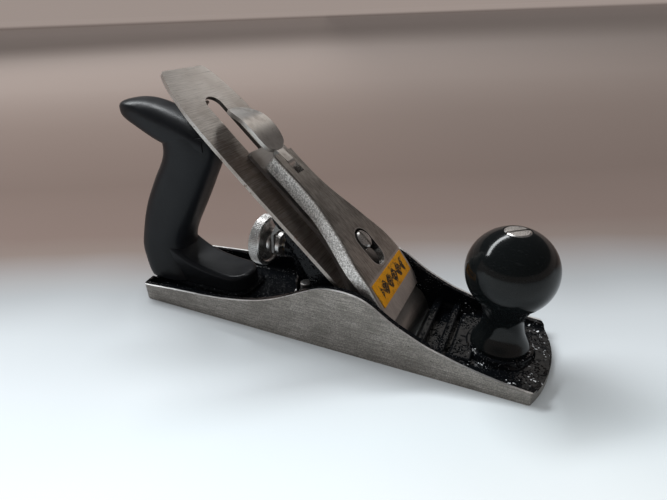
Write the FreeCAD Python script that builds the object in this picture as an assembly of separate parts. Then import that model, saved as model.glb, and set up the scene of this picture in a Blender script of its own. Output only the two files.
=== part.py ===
import FreeCAD, Part

import math
import os

from FreeCAD import Matrix, Placement, Vector

# Metal-bodied smoothing plane, in millimetres.
# +X points to the toe, +Y to the left cheek, +Z up. The origin is on the sole, under the middle.

# Body casting
HALF_WIDTH = 31.0
TOE_TIP_X = 122.5
TOE_CORNER_X = 115.3
HEEL_TIP_X = -125.5
HEEL_CORNER_X = -122.0
HEEL_CORNER_R = 5.0
TOE_CORNER_R = 1.5
CHEEK_THICKNESS = 4.0
HEEL_RIM = 4.0
BED_Z = 5.0
CHEEK_PROFILE = [
    (-132, 9.6), (-116, 10.8), (-94, 12.4), (-79, 13.3), (-66, 14.1), (-55, 15.4), (-45, 17.0),
    (-30, 20.6), (-19, 24.7), (-9, 29.4), (0, 34.0), (8, 37.4), (17, 38.6), (25, 38.3),
    (33, 36.2), (39.5, 32.4), (46.3, 27.6), (52.6, 23.9), (58.8, 20.9), (65.4, 17.9), (73, 15.5),
    (80, 13.4), (90, 10.9), (101, 8.8), (112, 7.4), (132, 6.6),
]
MOUTH_REAR_X = 49.1
MOUTH_FRONT_X = 56.0
MOUTH_HALF = 26.8
SEAT_TOP_Z = 12.0
SEAT_REAR_X = -16.0
SEAT_HALF = 21.0
RAMP_SUM = 50.25
RIBS = [(56.7, 61.6, 10.0), (68.3, 72.6, 9.4)]
KNOB_PAD = (74.2, 86.0, 20.0, 7.6)
TOTE_PAD_FRONT_X = -54.0
TOTE_PAD_HALF = 15.5
TOTE_PAD_Z = 8.0
TOTE_NOTCH_HALF = 20.2

# Iron, its pitch plane (x + z = PITCH_SUM) and the parts stacked on it. The stack is drawn in
# slope coordinates: s up the slope, y across, and off at right angles to the slope.
PITCH_SUM = 51.5
IRON_HALF = 25.0
IRON_THICK = 2.2
IRON_TOP_S = 195.0
EDGE_S = -2.1
BEVEL_S = 3.8
IRON_SIDE = [(150, 25.0), (160, 24.6), (168, 23.9), (176, 22.5), (184, 20.7), (190, 18.7)]
IRON_TOP_HALF = 15.6
IRON_SLOT_HALF = 6.0
IRON_SLOT_END_S = 168.5
IRON_HOLE_S = 32.0
IRON_HOLE_R = 8.5
STACK_GAP = 0.05
CAP_SCREW_S = 46.0
LEVER_SCREW_S = 60.0
FINGER_S = 97.0

CAP_IRON_BACK = [(135, 2.25), (27, 2.25), (22, 2.9), (17, 4.3), (12, 4.8), (8, 4.1), (3, 2.9), (0.4, 2.25)]
CAP_IRON_FRONT = [(-0.6, 2.35), (2.5, 4.2), (6.5, 6.0), (11, 7.0), (15, 6.6), (19, 5.5), (24, 4.6), (28, 4.45), (135, 4.45)]
CAP_IRON_SIDE = [(30, 25.0), (36, 24.8), (41, 23.9), (46, 22.0), (54, 17.8), (62, 13.8), (70, 11.3), (77, 10.1), (88, 9.5)]
CAP_IRON_TAIL_HALF = 9.5
CAP_IRON_TOP_S = 135.0

# Lever cap
CAP_END_S = 18.5
CAP_TOP_S = 124.0
CAP_SIDE = [(25.5, 25.2), (31, 25.4), (38, 24.6), (46, 23.8), (53, 22.7), (60, 20.5), (66, 18.2),
            (74, 15.7), (82, 13.4), (90, 11.2), (98, 9.9), (106, 9.3)]
CAP_NECK_HALF = 9.3
CAP_CREST = [(42, 16.2), (55, 17.0), (68, 17.4), (82, 17.1), (94, 16.4), (106, 15.7), (124, 15.1)]
CAP_LIP_OFF = 11.3
CAP_FACET_END = (42.0, 16.2)
CAP_UNDER = [(124, 6.4), (106, 6.6), (95, 7.2), (84, 8.8), (68, 8.9), (55, 9.2), (42, 9.4),
             (33, 9.3), (24, 7.4), (18.5, 6.9)]
KEYHOLE_BIG_S = 50.0
KEYHOLE_BIG_R = 6.7
KEYHOLE_NECK_R = 3.9
KEYHOLE_FLOOR = 14.85
LEVER_SCREW_HEAD_R = 5.2
FORK_S = 109.5
FORK_HALF = 3.3

# Cam lever
CAM_PIN_S = 118.0
CAM_PIN_OFF = 10.5
CAM_R = 4.95
CAM_ROOT_HALF = 3.1
THUMB_TOP = [(126, 14.8), (130, 15.3), (136, 16.1), (142, 16.4), (148, 15.6), (153, 13.6), (157.5, 10.9), (160.6, 8.2)]
THUMB_BOTTOM = [(159.6, 6.9), (156, 9.3), (152, 11.7), (147.5, 13.5), (142, 14.2), (136, 13.9), (130, 13.1), (126, 12.4)]
THUMB_SIDE = [(127.6, 5.2), (129.4, 7.9), (134, 9.7), (140, 10.2), (147, 9.9), (152.5, 8.6), (157, 6.2)]
THUMB_END = [(159.8, 3.6), (161.0, 1.8)]

# Frog
FROG_HALF = 22.0
FROG_BASE_Z = 12.05
FROG_FLOOR = 5.0
FROG_PLATE = 6.0
FROG_REAR_X = -19.0
FROG_TOP_S = 91.0
FROG_NOSE_S = 112.0
FROG_NOSE_HALF = 12.0
FROG_WEB = [(38.5, 12.05), (-10.9, 61.4), (-15.0, 60.4), (-11.0, 56.2), (-8.9, 49.7), (-2.5, 37.5), (1.0, 27.0), (1.0, 12.05)]
FROG_SPINE = [(36.0, 12.05), (-12.5, 60.5), (-16.0, 54.0), (-22.0, 49.0), (-22.0, 36.0), (-19.0, 24.0), (-19.0, 12.05)]
FROG_SCREW_X = -9.0
FROG_SCREW_Y = 13.0
FROG_TRAVEL = 0.9

# Depth adjustment: the nut turns on a stud, and the yoke carries its travel to the cap iron
NUT_REAR = Vector(-45.8, 0, 43.3)
STUD_TILT_DEG = 4.2
NUT_R = 15.4
NUT_RIM = 7.1
NUT_LENGTH = 16.6
NUT_GROOVE = (10.3, 13.9)
NUT_GROOVE_R = 4.9
NUT_FLANGE_R = 7.6
STUD_R = 2.8
BUSH_R = 3.6
RUNNING = 0.06
YOKE_PIVOT_OFF = -9.0
YOKE_PIN_R = 2.0
YOKE_FORK_HALF = 0.75
YOKE_ARM_IN = 5.2
YOKE_ARM_OUT = 7.0
KNURLS = 84

# Lateral lever
LATERAL_PIVOT_S = 117.0
LATERAL_DISC_S = 109.5
LATERAL_DISC_R = 5.7
LATERAL_END_S = 176.5

# Rear handle (tote): sections from the foot up, as height, rear x, front x, half width, squareness
TOTE_SECTIONS = [
    (8.1, -134.0, -99.0, 16.6, 3.6), (13.0, -136.6, -100.5, 15.8, 3.6), (20.0, -138.7, -102.6, 14.7, 3.5),
    (28.0, -139.2, -104.6, 13.9, 3.4), (36.0, -137.4, -102.5, 13.3, 3.2), (46.0, -133.8, -96.8, 13.0, 3.2),
    (57.0, -128.8, -89.6, 12.8, 3.2), (68.0, -122.2, -82.6, 12.6, 3.2), (79.0, -114.9, -75.8, 12.5, 3.0),
    (88.0, -108.6, -70.5, 12.6, 2.8), (96.0, -105.8, -68.0, 12.8, 2.6), (104.0, -108.0, -68.5, 12.6, 2.5),
]
# Head of the handle, as x, underside, top, half width
HORN_SECTIONS = [
    (-134.5, 115.4, 118.8, 3.5), (-132.5, 112.6, 121.0, 7.4), (-127.0, 109.4, 122.6, 10.4),
    (-119.0, 105.6, 123.0, 12.0), (-110.0, 101.0, 121.8, 12.8), (-100.0, 97.0, 119.0, 13.0),
    (-90.0, 95.0, 115.2, 12.8), (-80.0, 94.0, 109.8, 12.2), (-72.0, 94.0, 103.4, 10.6),
]
TOTE_TONGUE_HALF = 13.0
TOTE_TONGUE_FRONT_X = -56.5
TOTE_TONGUE_TOP = [(-114, 34.0), (-106, 28.5), (-98, 24.0), (-88, 20.8), (-76, 18.8), (-66, 17.9), (-54, 17.2)]
BOLT_TOP = Vector(-80.0, 0, 110.4)
BOLT_BOTTOM = Vector(-118.0, 0, 6.0)

# Front knob, as radius and height
KNOB_X = 97.0
KNOB_PROFILE = [(14.6, 8.6), (14.6, 10.2), (13.4, 12.6), (11.7, 16.2), (10.5, 20.6), (10.1, 25.0), (11.2, 29.6), (15.3, 35.6)]
KNOB_BALL_Z = 51.2
KNOB_BALL_R = 21.7
KNOB_TOP_Z = 71.8
KNOB_NUT_R = 6.1

ROOT2 = math.sqrt(2.0)


def prism_xz(points, y_min, y_max):
    """Solid with a straight-sided outline in x and z, between two values of y."""
    corners = [Vector(x, y_min, z) for x, z in points]
    face = Part.Face(Part.makePolygon(corners + [corners[0]]))
    return face.extrude(Vector(0, y_max - y_min, 0))


def spline(points):
    """Smooth edge through a list of points."""
    curve = Part.BSplineCurve()
    curve.interpolate(points)
    return curve.toShape()


def face_of(edges):
    """Face bounded by edges given in order."""
    return Part.Face(Part.Wire(edges))


def box(low, high):
    """Box between two opposite corners."""
    size = [b - a for a, b in zip(low, high)]
    return Part.makeBox(size[0], size[1], size[2], Vector(*low))


def cylinder(start, end, radius):
    """Cylinder between two points."""
    axis = end - start
    return Part.makeCylinder(radius, axis.Length, start, axis)


def slope_placement():
    """Placement that takes slope coordinates (s, -y, off) to the plane's own frame."""
    c = 1 / ROOT2
    return Placement(Matrix(-c, 0, c, PITCH_SUM, 0, -1, 0, 0, c, 0, c, 0, 0, 0, 0, 1))


SLOPE = slope_placement()


def on_slope(shape):
    """Copy of a shape moved from slope coordinates to the plane's frame."""
    placed = shape.copy()
    placed.Placement = SLOPE.multiply(placed.Placement)
    return placed


def slope_point(s, y, off):
    """Point of the plane's frame for slope coordinates."""
    return SLOPE.multVec(Vector(s, -y, off))


def band(points, half):
    """Slope-frame solid with a straight-sided (s, off) outline, across both sides of the middle."""
    return prism_xz(points, -half, half)


def slope_hole(s, y, radius, low, high):
    """Slope-frame cylinder square to the slope."""
    return Part.makeCylinder(radius, high - low, Vector(s, -y, low))


def stadium(s_low, s_high, radius, low, high):
    """Slope-frame slot shape with round ends, centred at s_low and s_high."""
    ends = [slope_hole(s, 0, radius, low, high) for s in (s_low, s_high)]
    return ends[0].fuse(ends[1]).fuse(box((s_low, -radius, low), (s_high, radius, high)))


def mirrored_plan(start, side, end, low, high):
    """Slope-frame plate whose outline is a smooth side mirrored about the middle line.

    start and end are lists of (s, half width) corners before and after the smooth side.
    """
    left = [Vector(s, w, low) for s, w in side]
    right = [Vector(s, -w, low) for s, w in reversed(side)]
    edges = [spline(left)]
    tail = [Vector(s, w, low) for s, w in end]
    chain = [left[-1]] + tail + [Vector(p.x, -p.y, low) for p in reversed(tail)] + [right[0]]
    edges += [Part.makeLine(a, b) for a, b in zip(chain, chain[1:])]
    edges.append(spline(right))
    head = [Vector(s, w, low) for s, w in start]
    chain = [right[-1]] + [Vector(p.x, -p.y, low) for p in reversed(head)] + head + [left[0]]
    edges += [Part.makeLine(a, b) for a, b in zip(chain, chain[1:])]
    return face_of(edges).extrude(Vector(0, 0, high - low))


def upright(shape):
    """Edges of a shape that run along z."""
    found = []
    for edge in shape.Edges:
        if isinstance(edge.Curve, Part.Line) and abs(edge.tangentAt(edge.FirstParameter).z) > 0.999:
            found.append(edge)
    return found


def stud_point(t, height=0.0):
    """Point t forward of the nut's rear face along the stud, and height square to the stud."""
    tilt = math.radians(STUD_TILT_DEG)
    along = Vector(math.cos(tilt), 0, -math.sin(tilt))
    across = Vector(math.sin(tilt), 0, math.cos(tilt))
    return NUT_REAR + along * t + across * height


def turned(profile, start, axis):
    """Solid of revolution from (distance, radius) points, along axis from start."""
    corners = [Vector(r, 0, t) for t, r in profile]
    solid = Part.Face(Part.makePolygon(corners + [corners[0]])).revolve(Vector(), Vector(0, 0, 1), 360)
    placement = Placement(start, FreeCAD.Rotation(Vector(0, 0, 1), axis))
    return solid.transformGeometry(placement.toMatrix())


def export(node, shape):
    """Write one sub-part."""
    shape.exportStep("parts/" + node + ".step")


def body_casting():
    """Sole, cheeks, frog seat, ribs and the pads for both handles, in one casting."""
    heel = Part.Arc(Vector(HEEL_CORNER_X, HALF_WIDTH, 0), Vector(HEEL_TIP_X, 0, 0),
                    Vector(HEEL_CORNER_X, -HALF_WIDTH, 0)).toShape()
    toe = Part.Arc(Vector(TOE_CORNER_X, -HALF_WIDTH, 0), Vector(TOE_TIP_X, 0, 0),
                   Vector(TOE_CORNER_X, HALF_WIDTH, 0)).toShape()
    right = Part.makeLine(Vector(HEEL_CORNER_X, -HALF_WIDTH, 0), Vector(TOE_CORNER_X, -HALF_WIDTH, 0))
    left = Part.makeLine(Vector(TOE_CORNER_X, HALF_WIDTH, 0), Vector(HEEL_CORNER_X, HALF_WIDTH, 0))
    block = face_of([heel, right, toe, left]).extrude(Vector(0, 0, 60))
    for radius, side in ((HEEL_CORNER_R, -1), (TOE_CORNER_R, 1)):
        corners = [e for e in upright(block) if e.CenterOfMass.x * side > 0 and abs(e.CenterOfMass.y) > HALF_WIDTH - 0.5]
        block = block.makeFillet(radius, corners)

    top = spline([Vector(x, -40, z) for x, z in CHEEK_PROFILE])
    first, last = CHEEK_PROFILE[0], CHEEK_PROFILE[-1]
    rim = [Vector(last[0], -40, last[1]), Vector(last[0], -40, -1), Vector(first[0], -40, -1),
           Vector(first[0], -40, first[1])]
    sides = [Part.makeLine(a, b) for a, b in zip(rim, rim[1:])]
    shell = block.common(face_of([top] + sides).extrude(Vector(0, 80, 0)))
    shell = shell.common(box((-140, -40, 0), (140, 40, 60)))

    inner = HALF_WIDTH - CHEEK_THICKNESS
    pocket = box((HEEL_TIP_X + HEEL_RIM, -inner, BED_Z), (160, inner, 80))
    low_edges = [e for e in pocket.Edges if abs(e.CenterOfMass.z - BED_Z) < 0.01 and e.CenterOfMass.x < 150]
    pocket = pocket.makeFillet(3.0, low_edges)
    shell = shell.cut(pocket)

    seat = box((SEAT_REAR_X, -SEAT_HALF, BED_Z - 1), (RAMP_SUM - BED_Z + 1, SEAT_HALF, SEAT_TOP_Z))
    pad_length = TOTE_PAD_FRONT_X - HEEL_CORNER_X
    tote_pad = box((HEEL_CORNER_X + 1, -TOTE_PAD_HALF, BED_Z - 1),
                   (HEEL_CORNER_X + pad_length, TOTE_PAD_HALF, TOTE_PAD_Z))
    tote_pad = tote_pad.makeFillet(9.0, [e for e in upright(tote_pad) if e.CenterOfMass.x > -70])
    tote_pad = tote_pad.makeChamfer(1.2, [e for e in tote_pad.Edges if e.BoundBox.ZMin > TOTE_PAD_Z - 0.01])
    for piece in (seat, tote_pad):
        shell = shell.fuse(piece)
    notch = box((HEEL_TIP_X - 1, -TOTE_NOTCH_HALF, TOTE_PAD_Z), (HEEL_CORNER_X + 4, TOTE_NOTCH_HALF, 20))
    shell = shell.cut(notch.makeFillet(3.0, [e for e in notch.Edges if abs(e.CenterOfMass.z - TOTE_PAD_Z) < 0.01
                                             and abs(e.CenterOfMass.y) > TOTE_NOTCH_HALF - 0.01]))
    for rear, front, height in RIBS:
        rib = box((rear, -inner - 1, BED_Z - 1), (front, inner + 1, height))
        crest = [e for e in rib.Edges if abs(e.CenterOfMass.z - height) < 0.01 and e.Length > 20]
        shell = shell.fuse(rib.makeFillet(1.3, crest))
    rear, front, half, height = KNOB_PAD
    pad = box((rear, -half, BED_Z - 1), (front, half, height))
    pad = pad.makeFillet(1.5, [e for e in pad.Edges if abs(e.CenterOfMass.z - height) < 0.01])
    shell = shell.fuse(pad)
    ring = turned([(0, 0), (0, 18.4), (2.4, 17.4), (3.9, 16.8), (4.5, 16.0), (4.5, 0)],
                  Vector(KNOB_X, 0, BED_Z - 1), Vector(0, 0, 1))
    shell = shell.fuse(ring)

    throat = [(MOUTH_REAR_X, -1), (MOUTH_REAR_X, RAMP_SUM - MOUTH_REAR_X), (RAMP_SUM - 13, 13), (RAMP_SUM - 13, 60),
              (MOUTH_FRONT_X, 60), (MOUTH_FRONT_X, -1)]
    shell = shell.cut(prism_xz(throat, -MOUTH_HALF, MOUTH_HALF))
    for side in (-1, 1):
        y = side * FROG_SCREW_Y
        shell = shell.cut(cylinder(Vector(FROG_SCREW_X, y, 5.5), Vector(FROG_SCREW_X, y, 13), 2.01))
    shell = shell.cut(cylinder(Vector(-17, 0, 8.6), Vector(-4, 0, 8.6), 2.46))
    shell = shell.cut(cylinder(Vector(KNOB_X, 0, 2), Vector(KNOB_X, 0, 12), 2.66))
    down = (BOLT_BOTTOM - BOLT_TOP).normalize()
    shell = shell.cut(cylinder(BOLT_BOTTOM - down * 8, BOLT_BOTTOM + down * 3.4, 2.66))
    return shell.removeSplitter()


def frog():
    """Inclined seat for the iron, with its webs, lugs, stud boss and openings."""
    plate = band([(8, -FROG_PLATE), (8, -STACK_GAP), (FROG_TOP_S, -STACK_GAP), (FROG_TOP_S, -FROG_PLATE)], FROG_HALF)
    corners = [e for e in upright(plate) if e.CenterOfMass.x > FROG_TOP_S - 1]
    plate = plate.makeFillet(5.0, corners)
    nose = box((FROG_TOP_S - 12, -FROG_NOSE_HALF, -FROG_PLATE), (FROG_NOSE_S, FROG_NOSE_HALF, -STACK_GAP))
    nose = nose.fuse(slope_hole(FROG_NOSE_S, 0, FROG_NOSE_HALF, -FROG_PLATE, -STACK_GAP))
    casting = on_slope(plate.fuse(nose))
    casting = casting.fuse(box((FROG_REAR_X, -FROG_HALF, FROG_BASE_Z), (36, FROG_HALF, FROG_BASE_Z + FROG_FLOOR)))
    for side in (-1, 1):
        inner, outer = sorted((side * FROG_HALF, side * (FROG_HALF - 4.5)))
        casting = casting.fuse(prism_xz(FROG_WEB, inner, outer))
        pad_low = Vector(FROG_SCREW_X, side * FROG_SCREW_Y, FROG_BASE_Z)
        casting = casting.fuse(cylinder(pad_low, pad_low + Vector(0, 0, 9.4), 5.4))
    casting = casting.fuse(prism_xz(FROG_SPINE, -4.8, 4.8))
    casting = casting.fuse(cylinder(stud_point(19.7), stud_point(40), 6.6))
    casting = casting.fuse(on_slope(slope_hole(LEVER_SCREW_S, 0, 7.0, -13.5, -3)))
    pivot = (FINGER_S, YOKE_PIVOT_OFF)
    lug = [(86, -3), (pivot[0] - 5, pivot[1] - 3.6), (pivot[0] - 2, pivot[1] - 5),
           (pivot[0] + 2, pivot[1] - 5), (pivot[0] + 5, pivot[1] - 3.6), (108, -3)]
    for low, high in ((-10.8, -7.3), (7.3, 10.8)):
        casting = casting.fuse(on_slope(prism_xz(lug, low, high)))

    below = box((-60, -40, -5), (80, 40, FROG_BASE_Z))
    front = on_slope(box((-10, -40, -STACK_GAP), (140, 40, 30)))
    casting = casting.cut(below).cut(front)

    openings = [
        on_slope(stadium(CAP_SCREW_S - 2.2, CAP_SCREW_S + 2.2, 6.6, -FROG_PLATE - 4, 1)),
        on_slope(slope_hole(LEVER_SCREW_S, 0, 2.96, -20, 1)),
        on_slope(box((FINGER_S - 5.6, -4.0, -FROG_PLATE - 3), (FINGER_S + 5.6, 4.0, 1))),
        on_slope(box((FINGER_S - 9, -7.25, -26), (FINGER_S + 12, 7.25, -4.9))),
        on_slope(box((FINGER_S + 6.8, -30, -1.55), (140, 30, 1))),
        on_slope(slope_hole(LATERAL_PIVOT_S, 0, 1.55, -20, 1)),
        cylinder(slope_point(FINGER_S, -20, YOKE_PIVOT_OFF), slope_point(FINGER_S, 20, YOKE_PIVOT_OFF), YOKE_PIN_R + 0.02),
        cylinder(stud_point(10), stud_point(38), STUD_R + 0.02),
        cylinder(Vector(-30, 0, 20.6), Vector(-11, 0, 20.6), 1.52),
    ]
    for side in (-1, 1):
        for shift in (-FROG_TRAVEL - 0.2, 0, FROG_TRAVEL + 0.2):
            foot = Vector(FROG_SCREW_X + shift, side * FROG_SCREW_Y, 0)
            openings.append(cylinder(foot, foot + Vector(0, 0, 40), 2.3))
    for opening in openings:
        casting = casting.cut(opening)
    return casting.removeSplitter()


def frog_screws():
    """Two slotted cheese-head screws that hold the frog down."""
    screws = []
    for side in (-1, 1):
        foot = Vector(FROG_SCREW_X, side * FROG_SCREW_Y, 0)
        screw = cylinder(foot + Vector(0, 0, 6.2), foot + Vector(0, 0, 23), 1.95)
        head = cylinder(foot + Vector(0, 0, 22.3), foot + Vector(0, 0, 28.0), 3.5)
        head = head.makeFillet(0.6, [e for e in head.Edges if e.CenterOfMass.z > 27.9])
        slot = box((foot.x - 5, foot.y - 0.55, 26.4), (foot.x + 5, foot.y + 0.55, 29))
        screws.append(screw.fuse(head).cut(slot))
    return Part.makeCompound(screws)


def frog_washers():
    """Plain washers under the frog screws."""
    washers = []
    for side in (-1, 1):
        low = Vector(FROG_SCREW_X, side * FROG_SCREW_Y, FROG_BASE_Z + 9.45)
        ring = cylinder(low, low + Vector(0, 0, 0.75), 4.7)
        washers.append(ring.cut(cylinder(low - Vector(0, 0, 1), low + Vector(0, 0, 2), 2.15)))
    return Part.makeCompound(washers)


def frog_adjusting_screw():
    """Grooved screw that draws the frog to and fro along the bed."""
    profile = [(0, 0), (0, 2.6), (0.5, 3.3), (4.6, 3.3), (4.6, 1.7), (6.05, 1.7), (6.05, 3.2), (6.8, 3.2),
               (6.8, 2.4), (18, 2.4), (18.6, 1.8), (18.6, 0)]
    screw = turned(profile, Vector(-25, 0, 8.6), Vector(1, 0, 0))
    return screw.cut(box((-26, -4, 8.1), (-23.6, 4, 9.1)))


def frog_clip():
    """Forked plate on the frog's back that sits in the adjusting screw's groove."""
    plate = box((-20.25, -6.5, 5.7), (-19.05, 6.5, 23.8))
    plate = plate.makeFillet(2.5, [e for e in plate.Edges if e.Length < 1.3 and e.CenterOfMass.z > 20])
    plate = plate.cut(box((-22, -1.85, 0), (-17, 1.85, 8.6)))
    plate = plate.cut(cylinder(Vector(-22, 0, 8.6), Vector(-17, 0, 8.6), 1.85))
    return plate.cut(cylinder(Vector(-22, 0, 20.6), Vector(-17, 0, 20.6), 1.6))


def frog_clip_screw():
    """Small round-head screw that holds the clip to the frog."""
    profile = [(0, 0), (0, 1.6), (0.7, 2.8), (2.0, 3.1), (2.0, 1.45), (9.5, 1.45), (9.5, 0)]
    screw = turned(profile, Vector(-22.3, 0, 20.6), Vector(1, 0, 0))
    return screw.cut(box((-23, -4, 20.2), (-21.5, 4, 21.0)))


def iron():
    """Cutting iron with a bevelled edge, tapered top, long slot and round entry hole."""
    side = [(30, IRON_HALF), (90, IRON_HALF)] + IRON_SIDE
    top = [(193.6, 16.9), (IRON_TOP_S, IRON_TOP_HALF)]
    plate = mirrored_plan([(-5, IRON_HALF)], side, top, 0, IRON_THICK)
    profile = [(EDGE_S + BEVEL_S, 0), (EDGE_S, IRON_THICK), (IRON_TOP_S + 3, IRON_THICK), (IRON_TOP_S + 3, 0)]
    plate = plate.common(band(profile, 40))
    plate = plate.cut(stadium(IRON_HOLE_S, IRON_SLOT_END_S, IRON_SLOT_HALF, -1, 5))
    plate = plate.cut(slope_hole(IRON_HOLE_S, 0, IRON_HOLE_R, -1, 5))
    return on_slope(plate)


def cap_iron():
    """Chip breaker with a curled front, narrowing to a tongue under the lever cap's neck."""
    back = spline([Vector(s, -30, off) for s, off in CAP_IRON_BACK[1:]])
    front = spline([Vector(s, -30, off) for s, off in CAP_IRON_FRONT[:-1]])
    corners = [Vector(s, -30, off) for s, off in
               (CAP_IRON_FRONT[-2], CAP_IRON_FRONT[-1], CAP_IRON_BACK[0], CAP_IRON_BACK[1])]
    lines = [Part.makeLine(a, b) for a, b in zip(corners, corners[1:])]
    tip = Part.makeLine(back.Vertexes[-1].Point, front.Vertexes[0].Point)
    sheet = face_of([front] + lines + [back, tip]).extrude(Vector(0, 60, 0))
    outline = mirrored_plan([(-5, IRON_HALF)], [(20, IRON_HALF)] + CAP_IRON_SIDE,
                            [(CAP_IRON_TOP_S - 1.5, CAP_IRON_TAIL_HALF), (CAP_IRON_TOP_S, CAP_IRON_TAIL_HALF - 1.5)], 0, 20)
    sheet = sheet.common(outline)
    sheet = sheet.cut(slope_hole(LEVER_SCREW_S, 0, 6.4, 0, 10))
    sheet = sheet.cut(slope_hole(CAP_SCREW_S, 0, 3.8, 0, 10))
    return on_slope(sheet.cut(box((FINGER_S - 2.9, -4.3, 0), (FINGER_S + 2.9, 4.3, 10))))


def cap_iron_screw():
    """Broad flat screw that clamps the cap iron to the iron."""
    profile = [(0, 0), (0, 5.4), (0.5, 5.9), (4.0, 5.9), (4.0, 3.74), (8.5, 3.74), (8.5, 0)]
    screw = turned(profile, Vector(CAP_SCREW_S, 0, -4.1), Vector(0, 0, 1))
    return on_slope(screw.cut(box((CAP_SCREW_S - 8, -0.7, -5), (CAP_SCREW_S + 8, 0.7, -2.6))))


def lever_cap():
    """Cast clamp plate: wide at its lower end, narrow and forked at the top."""
    outline = mirrored_plan([(CAP_END_S + 2.2, 23.6), (CAP_END_S, 20.5)], CAP_SIDE,
                            [(CAP_TOP_S - 1.2, CAP_NECK_HALF), (CAP_TOP_S, CAP_NECK_HALF - 1.2)], 0, 30)
    crest = spline([Vector(s, -40, off) for s, off in CAP_CREST])
    under = spline([Vector(s, -40, off) for s, off in CAP_UNDER])
    facet = Part.makeLine(Vector(CAP_END_S, -40, CAP_LIP_OFF), crest.Vertexes[0].Point)
    end = Part.makeLine(crest.Vertexes[-1].Point, under.Vertexes[0].Point)
    lip = Part.makeLine(under.Vertexes[-1].Point, facet.Vertexes[0].Point)
    solid = face_of([facet, crest, end, under, lip]).extrude(Vector(0, 80, 0)).common(outline)
    rim = [e for e in solid.Edges if e.BoundBox.ZMin > 11 and abs(e.CenterOfMass.y) > 5 and e.Length > 12]
    solid = solid.makeFillet(1.3, rim)

    hollow_side = [(27, 21.4), (38, 20.8), (48, 19.6), (57, 16.8), (65, 13.6), (74, 11.0), (84, 8.6)]
    hollow_plan = mirrored_plan([], hollow_side, [], 0, 30)
    hollow = hollow_plan.common(band([(26, 0), (26, 9.6), (42, 12.2), (60, 13.0), (74, 12.8), (86, 11.8), (86, 0)], 30))
    solid = solid.cut(hollow)
    solid = solid.cut(stadium(KEYHOLE_BIG_S, LEVER_SCREW_S, KEYHOLE_NECK_R, 0, 30))
    solid = solid.cut(stadium(KEYHOLE_BIG_S, LEVER_SCREW_S, KEYHOLE_BIG_R - 0.2, KEYHOLE_FLOOR, 30))
    solid = solid.cut(slope_hole(KEYHOLE_BIG_S, 0, KEYHOLE_BIG_R, 0, 30))
    solid = solid.cut(box((FORK_S, -FORK_HALF, 0), (CAP_TOP_S + 2, FORK_HALF, 30)))
    solid = solid.cut(cylinder(Vector(CAM_PIN_S, -20, CAM_PIN_OFF), Vector(CAM_PIN_S, 20, CAM_PIN_OFF), 1.5))
    solid = solid.cut(slope_hole(91, 0, 2.02, 0, 10.5))
    return on_slope(solid.removeSplitter())


def cam_lever():
    """Thumb lever with a round cam at its root."""
    top = spline([Vector(s, -20, off) for s, off in THUMB_TOP])
    bottom = spline([Vector(s, -20, off) for s, off in THUMB_BOTTOM])
    tip = Part.makeLine(top.Vertexes[-1].Point, bottom.Vertexes[0].Point)
    heel = Part.makeLine(bottom.Vertexes[-1].Point, top.Vertexes[0].Point)
    sheet = face_of([top, tip, bottom, heel]).extrude(Vector(0, 40, 0))
    outline = mirrored_plan([(120, CAM_ROOT_HALF), (126.6, CAM_ROOT_HALF)], THUMB_SIDE,
                            THUMB_END, 0, 30)
    thumb = sheet.common(outline)
    root = [(CAM_PIN_S, CAM_PIN_OFF + CAM_R), (126.4, 14.75), (127.4, 12.2), (CAM_PIN_S + 3.4, CAM_PIN_OFF - 3.5)]
    cam = cylinder(Vector(CAM_PIN_S, -CAM_ROOT_HALF, CAM_PIN_OFF), Vector(CAM_PIN_S, CAM_ROOT_HALF, CAM_PIN_OFF), CAM_R)
    lever = thumb.fuse(band(root, CAM_ROOT_HALF)).fuse(cam)
    bore = cylinder(Vector(CAM_PIN_S, -9, CAM_PIN_OFF), Vector(CAM_PIN_S, 9, CAM_PIN_OFF), 1.5)
    return on_slope(lever.cut(bore).removeSplitter())


def cam_pin():
    """Pin through the lever cap's fork and the cam lever."""
    return on_slope(cylinder(Vector(CAM_PIN_S, -8.7, CAM_PIN_OFF), Vector(CAM_PIN_S, 8.7, CAM_PIN_OFF), 1.45))


def cap_spring():
    """Leaf spring under the lever cap that the cam bears on."""
    top = [(86.5, 6.75), (95, 6.75), (103, 5.6), (123.5, 5.45)]
    bottom = [(s, off - 0.8) for s, off in reversed(top)]
    leaf = band(top + bottom, 4.6)
    return on_slope(leaf.cut(slope_hole(91, 0, 2.05, 0, 10)))


def cap_spring_rivet():
    """Rivet that fixes the leaf spring."""
    profile = [(0, 0), (0, 2.2), (0.6, 3.2), (0.85, 3.2), (0.85, 1.98), (5.2, 1.98), (5.2, 0)]
    return on_slope(turned(profile, Vector(91, 0, 5.0), Vector(0, 0, 1)))


def lever_cap_screw():
    """Slotted screw in the frog that the lever cap's keyhole hooks under."""
    profile = [(0, 0), (0, 2.4), (0.5, 2.9), (13.8, 2.9), (13.8, 3.5), (27.9, 3.5), (27.9, LEVER_SCREW_HEAD_R),
               (30.6, LEVER_SCREW_HEAD_R), (31.3, LEVER_SCREW_HEAD_R - 0.9), (31.5, 0)]
    screw = turned(profile, Vector(LEVER_SCREW_S, 0, -13.0), Vector(0, 0, 1))
    return on_slope(screw.cut(box((LEVER_SCREW_S - 8, -0.8, 17.0), (LEVER_SCREW_S + 8, 0.8, 20))))


def label():
    """Thin blank plate on the flat lower part of the lever cap."""
    run = CAP_FACET_END[0] - CAP_END_S
    rise = CAP_FACET_END[1] - CAP_LIP_OFF
    length = math.hypot(run, rise)
    normal = (-rise / length, run / length)
    outline = []
    for s, lift in ((27.4, 0.03), (40.4, 0.03), (40.4, 0.33), (27.4, 0.33)):
        off = CAP_LIP_OFF + rise * (s - CAP_END_S) / run
        outline.append((s + normal[0] * lift, off + normal[1] * lift))
    return on_slope(band(outline, 22.0))


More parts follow.
